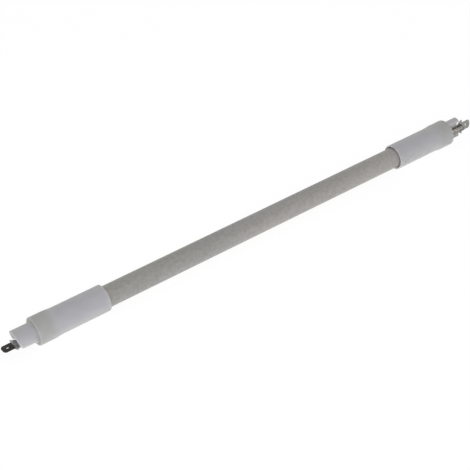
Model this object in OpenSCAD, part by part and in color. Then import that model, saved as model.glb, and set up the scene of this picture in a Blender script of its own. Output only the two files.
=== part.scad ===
// Quartz heating tube: a fused quartz tube with a wire coil inside it, a
// ceramic cap on each end and a push-on blade terminal on each cap.
// Millimetres. X runs along the tube, Z is up, and the origin is the middle
// of the tube's axis.

/* [Quartz tube] */
// Outside diameter of the quartz tube
tube_d = 14; // [12:0.5:16]
// Wall of the quartz tube
tube_wall = 1; // [0.8:0.1:1.1]
// Length of tube that shows between the two caps
exposed_l = 233; // [150:1:500]
// Length of tube that sits inside each cap
insert_l = 40; // [36:1:44]

/* [Ceramic cap] */
// Outside diameter of the sleeve round the tube
sleeve_d = 17.5; // [17.2:0.1:18]
// Radial gap between the tube and the cap's bore
bore_gap = 0.55; // [0.3:0.05:0.6]
// Length of the cap from its open end to the outer face of its collar
body_l = 49; // [48:0.5:60]
// Outside diameter of the collar
collar_d = 18.4; // [18.2:0.1:22]
// Length of the collar at its full diameter
collar_l = 9.5; // [6:0.5:12]
// Length of the slope from the collar down to the sleeve
slope_l = 6.5; // [3:0.5:10]
// Diameter of the boss beyond the collar
boss_d = 13.3; // [12.8:0.1:15]
// Length of the boss on its long side
boss_l = 14; // [12.5:0.1:16]
// How much shorter the boss is on the terminal's side
boss_slant = 3.5; // [1:0.1:4]
// Radius of the rounded edges at the open end and on the collar
edge_r = 0.5; // [0.2:0.05:0.7]
// Radius of the rounded rim at the boss's end
rim_r = 2.6; // [0.6:0.1:2.8]

/* [Terminal seat] */
// Width of the channel that holds the terminal's barrel
channel_w = 11.4; // [8:0.1:11.8]
// Length of the channel's floor
channel_l = 10; // [6.5:0.1:10.5]
// Width of the sloping mouth above the terminal
mouth_w = 9.4; // [7:0.1:9.6]
// How far the mouth cuts in along the channel's floor
mouth_l = 2.2; // [1:0.1:3]
// Height of the mouth above the channel's floor
mouth_h = 5.6; // [3:0.1:6.4]
// Distance from the tube's axis to the channel's floor
seat_h = 1.9; // [1.6:0.1:2.2]
// Turn of the left cap about the axis
left_roll = 10; // [-180:1:180]
// Turn of the right cap about the axis
right_roll = -99; // [-180:1:180]

/* [Blade terminal] */
// Thickness of the terminal's sheet
sheet_t = 0.8; // [0.5:0.1:1]
// Width of the push-on blade
blade_w = 6.3; // [4.8:0.1:6.6]
// Length of the blade from its shoulders to its tip
blade_l = 7.6; // [6:0.1:10]
// Bevel at each corner of the blade's tip
tip_bevel = 1.3; // [0.5:0.1:2]
// Diameter of the detent hole in the blade
hole_d = 1.8; // [1:0.1:2.2]
// Distance from the blade's tip to the middle of the hole
hole_inset = 3.6; // [2.6:0.1:4.5]
// Width across the two shoulders
shoulder_w = 10.8; // [8:0.1:12]
// Length of the shoulders
shoulder_l = 2; // [1.6:0.1:4]
// Length of the barrel crimped round the lead
barrel_l = 11.5; // [6:0.1:12]

/* [Lead and coil] */
// Diameter of the lead rod
lead_d = 2.2; // [1.8:0.1:2.3]
// Radial gap between the lead and its hole in the cap
lead_gap = 0.2; // [0.1:0.05:0.3]
// Length of lead that stands into the quartz tube
lead_in = 16; // [12:1:24]
// Diameter of the resistance wire
wire_d = 0.6; // [0.4:0.05:0.65]
// Radial gap between the coil and the tube's inside
coil_gap = 0.3; // [0.2:0.05:0.6]
// Number of open turns in the coil
coil_turns = 56; // [20:1:64]
// Number of turns wound tight on each lead
lead_turns = 5; // [3:1:6]

/* [Hidden] */

tube_l = exposed_l + 2 * insert_l;
tube_bore_r = tube_d / 2 - tube_wall;
sleeve_r = sleeve_d / 2;
collar_r = collar_d / 2;
boss_r = boss_d / 2;
bore_r = tube_d / 2 + bore_gap;
slope_steps = 8;
round_steps = 5;
root_r = 0.8;

// Places along a cap, measured from its open end outwards
slope_x = body_l - collar_l - slope_l;
cap_l = body_l + boss_l;
face_x = face_at(-seat_h);
slant_angle = atan(boss_slant / boss_d);
channel_x = face_x - channel_l;

// The lead lies on the sheet, and the sheet lies on the channel's floor
lead_h = seat_h + sheet_t + lead_d / 2;
wing_t = 0.8;
barrel_r = lead_d / 2 + wing_t;
fit_gap = 0.1;
rib_h = 0.2;
rib_l = 0.9;
rib_n = 5;
seam_w = 0.3;
seam_h = 0.5;
flank_l = 3;
neck_w = 2 * barrel_r;
tail_l = 0.4;
tip_lead = 1;

coil_r = tube_bore_r - coil_gap - wire_d / 2;
wound_r = (lead_d + wire_d) / 2;
wound_pitch = wire_d * 1.25;
fan_turns = 2;
fan_pitch = 3;
turn_steps = 10;
wire_sides = 5;
lead_tip_x = tube_l / 2 - lead_in;
wound_l = lead_turns * wound_pitch;
all_turns = coil_turns + 2 * (fan_turns + lead_turns);

$fn = 64;

// Points of an arc about c, from angle a to angle b
function arc(c, r, a, b) =
    [for (i = [0 : round_steps]) let (t = a + (b - a) * i / round_steps)
        c + r * [cos(t), sin(t)]];

// Distance from the cap's open end to the boss's slanted face, at height z
function face_at(z) = cap_l - boss_slant * (boss_r - z) / boss_d;

// Half of the cap's section: distance from the open end, then radius
function cap_section() = concat(
    [[0, bore_r + edge_r]],
    arc([edge_r, sleeve_r - edge_r], edge_r, 180, 90),
    [for (i = [0 : slope_steps]) let (t = i / slope_steps)
        [slope_x + slope_l * t,
         sleeve_r + (collar_r - sleeve_r) * (1 - cos(180 * t)) / 2]],
    arc([body_l - edge_r, collar_r - edge_r], edge_r, 90, 0),
    arc([body_l + root_r, boss_r + root_r], root_r, 180, 270),
    [[cap_l, boss_r], [cap_l, 0], [insert_l, 0], [insert_l, bore_r], [edge_r, bore_r]]);

// Turns a profile drawn along X about the X axis
module turned(points) {
    rotate([0, 90, 0])
        rotate_extrude($fn = 96)
            polygon([for (p = points) [p[1], p[0]]]);
}

// Stands a cap's own frame, with X outwards from its open end, on each end of the tube
module at_left() {
    translate([-exposed_l / 2, 0, 0])
        rotate([0, 0, 180])
            rotate([left_roll, 0, 0])
                children();
}

module at_right() {
    translate([exposed_l / 2, 0, 0])
        rotate([right_roll, 0, 0])
            children();
}

// What the slanting cut takes off the boss's end: all beyond a plane that leans
// towards the terminal's side, and the rim round it
module end_cut() {
    reach = 2 * collar_d;
    plug_r = boss_r / cos(slant_angle) + rim_r * sin(slant_angle);
    translate([cap_l, 0, boss_r])
        rotate([0, slant_angle, 0])
            difference() {
                translate([-rim_r, -reach / 2, -reach])
                    cube([reach, reach, 2 * reach]);
                translate([0, 0, -boss_r / cos(slant_angle)])
                    turned(concat([[-2 * rim_r, plug_r]],
                                  arc([-rim_r, plug_r - rim_r], rim_r, 90, 0),
                                  [[0, 0], [-2 * rim_r, 0]]));
            }
}

module channel_cut() {
    translate([channel_x, -channel_w / 2, -collar_r - seat_h])
        cube([boss_l + channel_l, channel_w, collar_r]);
}

// The sloping mouth that lays the terminal's root open above the channel
module mouth_cut() {
    top = mouth_h - seat_h;
    rotate([90, 0, 0])
        linear_extrude(mouth_w, center = true)
            polygon([[face_x - mouth_l, -seat_h], [face_at(top), top],
                     [cap_l + mouth_l, top], [cap_l + mouth_l, -collar_r], [face_x - mouth_l, -collar_r]]);
}

module ceramic_cap() {
    difference() {
        turned(cap_section());
        end_cut();
        channel_cut();
        mouth_cut();
        translate([insert_l - 1, 0, -lead_h])
            rotate([0, 90, 0])
                cylinder(d = lead_d + 2 * lead_gap, h = boss_l + body_l);
    }
}

// The blade, its shoulders, and the neck that lies under the barrel
module blade_outline() {
    shoulder_x = face_x + fit_gap;
    blade_x = shoulder_x + shoulder_l;
    tip_x = blade_x + blade_l;
    side = [
        [channel_x + fit_gap, neck_w / 2],
        [shoulder_x - flank_l, neck_w / 2],
        [blade_x - sheet_t / 2, shoulder_w / 2],
        [blade_x, shoulder_w / 2],
        [blade_x, blade_w / 2],
        [tip_x - tip_bevel, blade_w / 2],
        [tip_x, blade_w / 2 - tip_bevel]];
    difference() {
        polygon(concat(side, [for (i = [len(side) - 1 : -1 : 0]) [side[i][0], -side[i][1]]]));
        translate([tip_x - hole_inset, 0])
            circle(d = hole_d, $fn = 32);
    }
}

// The sheet seen from its edge, thinned at the tip
module sheet_side() {
    tip_x = face_x + fit_gap + shoulder_l + blade_l;
    rotate([90, 0, 0])
        linear_extrude(2 * shoulder_w, center = true)
            polygon([[channel_x, -seat_h - sheet_t], [tip_x - tip_lead, -seat_h - sheet_t],
                     [tip_x, -seat_h - sheet_t * 0.75], [tip_x, -seat_h - sheet_t * 0.25],
                     [tip_x - tip_lead, -seat_h], [channel_x, -seat_h]]);
}

module stamped_blade() {
    intersection() {
        translate([0, 0, -seat_h - sheet_t])
            linear_extrude(sheet_t)
                blade_outline();
        sheet_side();
    }
}

// The barrel folded round the lead, pinched between its ribs, with a seam where its two wings meet
module crimped_barrel() {
    difference() {
        translate([channel_x + fit_gap, 0, -lead_h])
            rotate([0, 90, 0]) {
                cylinder(r = barrel_r, h = barrel_l);
                for (i = [0 : rib_n - 1])
                    translate([0, 0, i * (barrel_l - rib_l) / (rib_n - 1)])
                        cylinder(r = barrel_r + rib_h, h = rib_l);
            }
        translate([channel_x, -channel_w / 2, -seat_h])
            cube([2 * barrel_l, channel_w, collar_r]);
        translate([channel_x, -seam_w / 2, -lead_h - barrel_r - collar_r + seam_h])
            cube([2 * barrel_l, seam_w, collar_r]);
    }
}

module terminal() {
    difference() {
        union() {
            stamped_blade();
            crimped_barrel();
        }
        translate([0, 0, -lead_h])
            rotate([0, 90, 0])
                cylinder(d = lead_d, h = channel_x + barrel_l + 2 * tail_l);
    }
}

module lead() {
    translate([insert_l - lead_in, 0, -lead_h])
        rotate([0, 90, 0])
            cylinder(d = lead_d, h = channel_x + barrel_l + tail_l - insert_l + lead_in);
}

// Where a turn of the coil lies, by its count of turns from the left end
function left_side(u) = u < all_turns / 2;
function from_end(u) = left_side(u) ? u : all_turns - u;
function end_angle(u) = left_side(u) ? 270 - left_roll : 270 + right_roll;

// 0 on the lead and 1 in the open coil
function opening(u) = min(1, max(0, (from_end(u) - lead_turns) / fan_turns));
function coil_x(u) =
    let (e = from_end(u),
         inner = min(e, lead_turns) * wound_pitch,
         fan = min(fan_turns, max(0, e - lead_turns)) * fan_pitch,
         open = max(0, e - lead_turns - fan_turns) * coil_pitch(),
         x = lead_tip_x + wound_l - wire_d - inner - fan - open)
    left_side(u) ? -x : x;
function coil_pitch() =
    2 * (lead_tip_x - wire_d - fan_turns * fan_pitch) / coil_turns;
function coil_centre(u) =
    (1 - opening(u)) * lead_h * [cos(end_angle(u)), sin(end_angle(u))];
function coil_radius(u) = wound_r + (coil_r - wound_r) * opening(u);

function wire_ring(u) =
    let (a = 360 * u, c = coil_centre(u), r = coil_radius(u))
    [for (j = [0 : wire_sides - 1])
        let (b = 360 * j / wire_sides, rr = r + wire_d / 2 * cos(b))
        [coil_x(u) + wire_d / 2 * sin(b), c[0] + rr * cos(a), c[1] + rr * sin(a)]];

module heating_coil() {
    rings = all_turns * turn_steps;
    points = [for (i = [0 : rings]) each wire_ring(i / turn_steps)];
    last = rings * wire_sides;
    sides = [for (i = [0 : rings - 1], j = [0 : wire_sides - 1])
        let (k = i * wire_sides, n = (j + 1) % wire_sides)
        each [[k + j, k + n, k + wire_sides + n],
              [k + j, k + wire_sides + n, k + wire_sides + j]]];
    caps = [[for (j = [wire_sides - 1 : -1 : 0]) j],
            [for (j = [0 : wire_sides - 1]) last + j]];
    color([0.45, 0.42, 0.38])
        polyhedron(points, concat(sides, caps));
}

module quartz_tube() {
    color([0.72, 0.71, 0.69])
        rotate([0, 90, 0])
            difference() {
                cylinder(d = tube_d, h = tube_l, center = true, $fn = 96);
                cylinder(r = tube_bore_r, h = tube_l + 2, center = true, $fn = 96);
            }
}

module left_ceramic_cap() { color([0.85, 0.85, 0.84]) at_left() ceramic_cap(); }
module right_ceramic_cap() { color([0.85, 0.85, 0.84]) at_right() ceramic_cap(); }
module left_lead() { color([0.5, 0.48, 0.46]) at_left() lead(); }
module right_lead() { color([0.5, 0.48, 0.46]) at_right() lead(); }
module left_terminal() { color([0.55, 0.55, 0.54]) at_left() terminal(); }
module right_terminal() { color([0.55, 0.55, 0.54]) at_right() terminal(); }

quartz_tube();
heating_coil();
left_ceramic_cap();
right_ceramic_cap();
left_lead();
right_lead();
left_terminal();
right_terminal();
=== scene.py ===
"""Looks for the quartz heating tube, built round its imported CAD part."""

import math

import bpy
from mathutils import Matrix, Vector

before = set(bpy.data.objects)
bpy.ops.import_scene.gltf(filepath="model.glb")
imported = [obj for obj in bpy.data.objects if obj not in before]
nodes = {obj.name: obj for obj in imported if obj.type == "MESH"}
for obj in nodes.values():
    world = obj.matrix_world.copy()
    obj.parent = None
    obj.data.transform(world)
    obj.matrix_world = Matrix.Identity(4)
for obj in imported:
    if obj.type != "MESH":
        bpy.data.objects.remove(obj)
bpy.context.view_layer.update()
MM = 0.001

# Places along the part, as distances in mm from its middle
CAP_NEAR, CAP_FAR = 145, 170
COLLAR_TONE_START, COLLAR_TONE_FULL = 152.5, 157.5
COLLAR_FACE, BOSS_START = 165.5, 166
BLADE_TIP, CRIMP = 187, 172
BLADE_FOOT, SHOULDER_START = 180.1, 179.05
SHOULDER_FOOT, ROOT_START = 175.9, 174.7

# Surfaces
NOISE_LOW, NOISE_HIGH = 0.3, 0.7
QUARTZ_IOR, CERAMIC_IOR = 1.46, 1.5
CERAMIC_GLOW_MM = 2.5
# Painted sheen: blend and warmer colour that the ceramic takes towards its edges as seen
CERAMIC_SHEEN_BLEND = 0.3
CERAMIC_SHEEN_COLOUR = (190, 188, 183)
COLLAR_TONE_COLOUR = (176, 177, 172)
COLLAR_PATCH_LOW, COLLAR_PATCH_HIGH = 0.1, 0.7

# Floor under the collars, and the light that it shows and gives
FLOOR_Z = -9.2 * MM
FLOOR_SIZE = 6.0
PAGE_TINT, PAGE_LIGHT = 0.16, 0.90
TABLE_TINT, TABLE_LIGHT = 0.9, 0.52

# Room and lamp
ROOM_LIGHT, ROOM_SEEN = 0.56, 1.0
LAMP_PLACE = (-0.3, -0.5, 0.45)
LAMP_AIM = (-0.02, 0, 0)
LAMP_WIDTH, LAMP_HEIGHT = 0.5, 0.3
LAMP_WATTS = 0.9

# Camera: fitted to the photograph's outline, level, aimed near the middle of the tube
AZIMUTH = math.radians(-35.956)
ELEVATION = math.radians(42.045)
FOCAL_PX = 1233.0
PICTURE_PX = 470
SENSOR_MM = 36
DISTANCE = 793.41 * MM
AIM = Vector((-18.697, -0.632, 0.0)) * MM
CLIP_START = 10 * MM


def srgb(*levels):
    """A colour given in the 0 to 255 scale of a screen, as linear light."""
    def linear(level):
        v = level / 255
        return v / 12.92 if v <= 0.04045 else ((v + 0.055) / 1.055) ** 2.4
    return tuple(linear(level) for level in levels) + (1.0,)


def grey(value):
    return (value, value, value, 1.0)


class Shader:
    """A material's node tree, with short calls for the nodes used here."""

    def __init__(self, name):
        self.material = bpy.data.materials.new(name)
        self.material.use_nodes = True
        self.tree = self.material.node_tree
        self.tree.nodes.clear()
        self.out = self.tree.nodes.new("ShaderNodeOutputMaterial")
        self.surface = self.tree.nodes.new("ShaderNodeBsdfPrincipled")
        self.tree.links.new(self.surface.outputs[0], self.out.inputs[0])
        self.where = self.tree.nodes.new("ShaderNodeTexCoord").outputs["Object"]

    def node(self, kind, **values):
        made = self.tree.nodes.new("ShaderNode" + kind)
        for key, value in values.items():
            setattr(made, key, value)
        return made

    def link(self, source, target):
        self.tree.links.new(source, target)

    def feed(self, value, target):
        """Links a socket to the target, or sets the target to a plain value."""
        if hasattr(value, "is_linked"):
            self.link(value, target)
        else:
            target.default_value = value

    def noise(self, scale, detail, stretch=(1, 1, 1)):
        mapping = self.node("Mapping")
        mapping.inputs["Scale"].default_value = stretch
        self.link(self.where, mapping.inputs["Vector"])
        noise = self.node("TexNoise")
        noise.inputs["Scale"].default_value = scale
        noise.inputs["Detail"].default_value = detail
        self.link(mapping.outputs[0], noise.inputs["Vector"])
        return noise.outputs["Fac"]

    def ramp(self, value, stops):
        ramp = self.node("ValToRGB")
        while len(ramp.color_ramp.elements) < len(stops):
            ramp.color_ramp.elements.new(0.5)
        for element, (place, colour) in zip(ramp.color_ramp.elements, stops):
            element.position = place
            element.color = colour
        self.link(value, ramp.inputs["Fac"])
        return ramp.outputs["Color"]

    def mottle(self, noise, dark, light):
        """Two colours that a noise blends between."""
        return self.ramp(noise, [(NOISE_LOW, dark), (NOISE_HIGH, light)])

    def scaled(self, value, low, high):
        """Maps low to 0 and high to 1."""
        node = self.node("MapRange")
        node.inputs["From Min"].default_value = low
        node.inputs["From Max"].default_value = high
        self.link(value, node.inputs["Value"])
        return node.outputs["Result"]

    def bands(self, start, end, places):
        """Colours at distances in mm from the part's middle, the same towards both ends."""
        split = self.node("SeparateXYZ")
        self.link(self.where, split.inputs[0])
        from_middle = self.math("ABSOLUTE", split.outputs["X"], 0)
        way = self.scaled(from_middle, start * MM, end * MM)
        return self.ramp(way, [((place - start) / (end - start), colour) for place, colour in places])

    def mix(self, fac, a, b, blend="MIX"):
        node = self.node("Mix", data_type="RGBA", blend_type=blend)
        for value, place in ((fac, 0), (a, 6), (b, 7)):
            self.feed(value, node.inputs[place])
        return node.outputs[2]

    def times(self, a, b):
        """One colour multiplied by another."""
        return self.mix(1.0, a, b, "MULTIPLY")

    def math(self, operation, a, b):
        node = self.node("Math", operation=operation)
        for value, place in ((a, 0), (b, 1)):
            self.feed(value, node.inputs[place])
        return node.outputs[0]

    def bump(self, height, depth_mm):
        node = self.node("Bump")
        node.inputs["Distance"].default_value = depth_mm * MM
        self.link(height, node.inputs["Height"])
        self.link(node.outputs[0], self.surface.inputs["Normal"])

    def colour(self, value):
        self.link(value, self.surface.inputs["Base Color"])

    def set(self, **values):
        for key, value in values.items():
            self.surface.inputs[key.replace("_", " ")].default_value = value


def milky_quartz():
    look = Shader("milky quartz")
    cloud = look.mottle(look.noise(60, 3, (0.25, 1, 1)), srgb(157, 155, 151), srgb(169, 166, 162))
    grain = look.mottle(look.noise(480, 3), grey(0.9), grey(1.1))
    look.colour(look.times(cloud, grain))
    look.set(Roughness=0.5, IOR=QUARTZ_IOR)
    look.bump(look.noise(900, 2, (0.2, 1, 1)), 0.04)
    return look.material


def steatite():
    look = Shader("steatite")
    cloud = look.mottle(look.noise(120, 4), srgb(188, 187, 192), srgb(194, 193, 198))
    # A cool body with a painted warm sheen towards its edges, where the surface turns away from the
    # view
    sheen_weight = look.node("LayerWeight")
    sheen_weight.inputs["Blend"].default_value = CERAMIC_SHEEN_BLEND
    body = look.mix(sheen_weight.outputs["Facing"], cloud, srgb(*CERAMIC_SHEEN_COLOUR))
    # The collars are darker and greener, in noisy patches
    untoned, toned = grey(0), grey(1)
    collar = look.bands(CAP_NEAR, CAP_FAR, [
        (COLLAR_TONE_START, untoned), (COLLAR_TONE_FULL, toned), (COLLAR_FACE, toned), (BOSS_START, untoned)])
    patches = look.scaled(look.noise(90, 3), COLLAR_PATCH_LOW, COLLAR_PATCH_HIGH)
    collar_tone = look.math("MULTIPLY", collar, patches)
    look.colour(look.mix(collar_tone, body, srgb(*COLLAR_TONE_COLOUR)))
    look.set(Roughness=0.62, IOR=CERAMIC_IOR)
    look.set(Subsurface_Weight=1.0, Subsurface_Scale=CERAMIC_GLOW_MM * MM, Subsurface_Radius=(1, 1, 1))
    look.bump(look.noise(2500, 3), 0.05)
    return look.material


def plated_steel(name, tip, shoulder, root):
    """Sheet metal whose tint changes from the blade's tip to the root in the cap. The darker tones are
    painted dark reflection: the base colour is kept dark in place of a dark room mirrored in the
    metal.
    """
    look = Shader(name)
    tint = look.bands(BLADE_TIP, CRIMP, [
        (BLADE_TIP, tip), (BLADE_FOOT, tip), (SHOULDER_START, shoulder),
        (SHOULDER_FOOT, shoulder), (ROOT_START, root)])
    stain = look.mottle(look.noise(700, 4), (0.6, 0.58, 0.55, 1), grey(1.25))
    look.colour(look.times(tint, stain))
    look.set(Metallic=0.85, Roughness=0.42)
    look.bump(look.noise(3000, 2), 0.02)
    return look.material


def drawn_rod(name, dark, light):
    look = Shader(name)
    look.colour(look.mottle(look.noise(800, 3, (0.1, 1, 1)), dark, light))
    look.set(Metallic=1.0, Roughness=0.4)
    look.bump(look.noise(2500, 2), 0.01)
    return look.material


def assign(material, *names):
    for name in names:
        slots = nodes[name].data.materials
        if len(slots) == 0:
            slots.append(material)
        for i in range(len(slots)):
            slots[i] = material


def seen_directly(tree):
    """1 on a ray from the camera, a mirror or through glass, and 0 on other rays."""
    rays = tree.nodes.new("ShaderNodeLightPath")
    total = rays.outputs["Is Camera Ray"]
    for name in ("Is Glossy Ray", "Is Transmission Ray"):
        either = tree.nodes.new("ShaderNodeMath")
        either.operation = "MAXIMUM"
        tree.links.new(total, either.inputs[0])
        tree.links.new(rays.outputs[name], either.inputs[1])
        total = either.outputs[0]
    return total


def matt_and_lit(tree, tint, light):
    """A matt grey surface that also gives out light of its own."""
    matt = tree.nodes.new("ShaderNodeBsdfDiffuse")
    matt.inputs["Color"].default_value = grey(tint)
    glow = tree.nodes.new("ShaderNodeEmission")
    glow.inputs["Strength"].default_value = light
    both = tree.nodes.new("ShaderNodeAddShader")
    tree.links.new(matt.outputs[0], both.inputs[0])
    tree.links.new(glow.outputs[0], both.inputs[1])
    return both.outputs[0]


def page_white():
    """A floor that is a near white page with the part's shadow where it is seen, and a
    pale table with a weaker light of its own for the rays that light the part."""
    material = bpy.data.materials.new("page")
    material.use_nodes = True
    tree = material.node_tree
    tree.nodes.clear()
    out = tree.nodes.new("ShaderNodeOutputMaterial")
    choose = tree.nodes.new("ShaderNodeMixShader")
    tree.links.new(seen_directly(tree), choose.inputs[0])
    tree.links.new(matt_and_lit(tree, TABLE_TINT, TABLE_LIGHT), choose.inputs[1])
    tree.links.new(matt_and_lit(tree, PAGE_TINT, PAGE_LIGHT), choose.inputs[2])
    tree.links.new(choose.outputs[0], out.inputs[0])
    return material


def add_floor():
    bpy.ops.mesh.primitive_plane_add(size=FLOOR_SIZE, location=(0, 0, FLOOR_Z))
    floor = bpy.context.object
    floor.name = "floor"
    floor.data.materials.append(page_white())
    return floor


def add_camera():
    back = Vector((math.sin(AZIMUTH) * math.cos(ELEVATION),
                   -math.cos(AZIMUTH) * math.cos(ELEVATION),
                   math.sin(ELEVATION)))
    right = Vector((math.cos(AZIMUTH), math.sin(AZIMUTH), 0))
    up = back.cross(right)
    camera = bpy.data.objects.new("camera", bpy.data.cameras.new("camera"))
    bpy.context.scene.collection.objects.link(camera)
    camera.data.sensor_width = SENSOR_MM
    camera.data.lens = FOCAL_PX / PICTURE_PX * SENSOR_MM
    camera.data.clip_start = CLIP_START
    turn = Matrix((right, up, back)).transposed().to_4x4()
    camera.matrix_world = Matrix.Translation(AIM + back * DISTANCE) @ turn
    return camera


def light_room():
    """Room light that is white where it is looked at and dimmer where it lights the part."""
    world = bpy.data.worlds.new("room")
    bpy.context.scene.world = world
    world.use_nodes = True
    room = world.node_tree
    background = room.nodes["Background"]
    strength = room.nodes.new("ShaderNodeMapRange")
    strength.inputs["To Min"].default_value = ROOM_LIGHT
    strength.inputs["To Max"].default_value = ROOM_SEEN
    room.links.new(seen_directly(room), strength.inputs["Value"])
    room.links.new(strength.outputs["Result"], background.inputs["Strength"])
    background.inputs["Color"].default_value = grey(1)


def add_lamp():
    """A broad lamp in front of the part and to its left."""
    data = bpy.data.lights.new("front", "AREA")
    data.shape = "RECTANGLE"
    data.size = LAMP_WIDTH
    data.size_y = LAMP_HEIGHT
    data.energy = LAMP_WATTS
    lamp = bpy.data.objects.new("front", data)
    bpy.context.scene.collection.objects.link(lamp)
    lamp.location = LAMP_PLACE
    facing = Vector(LAMP_AIM) - Vector(LAMP_PLACE)
    lamp.rotation_euler = facing.to_track_quat("-Z", "Y").to_euler()


# Tip, shoulder and root tones of the terminals; the dark tones are painted dark reflection
left_painted_reflection_tones = (srgb(50, 48, 45), srgb(168, 167, 163), srgb(160, 148, 138))
right_painted_reflection_tones = (srgb(150, 149, 146), srgb(150, 149, 146), srgb(166, 162, 157))
assign(milky_quartz(), "quartz_tube")
assign(steatite(), "left_ceramic_cap", "right_ceramic_cap")
assign(plated_steel("steel with painted dark reflection", *left_painted_reflection_tones), "left_terminal")
assign(plated_steel("plated steel", *right_painted_reflection_tones), "right_terminal")
assign(drawn_rod("lead steel", srgb(120, 112, 104), srgb(150, 142, 134)), "left_lead", "right_lead")
assign(drawn_rod("coil wire", srgb(100, 92, 84), srgb(128, 120, 112)), "heating_coil")

floor = add_floor()
bpy.context.scene.camera = add_camera()
light_room()
add_lamp()

bpy.context.scene.view_settings.view_transform = "Standard"
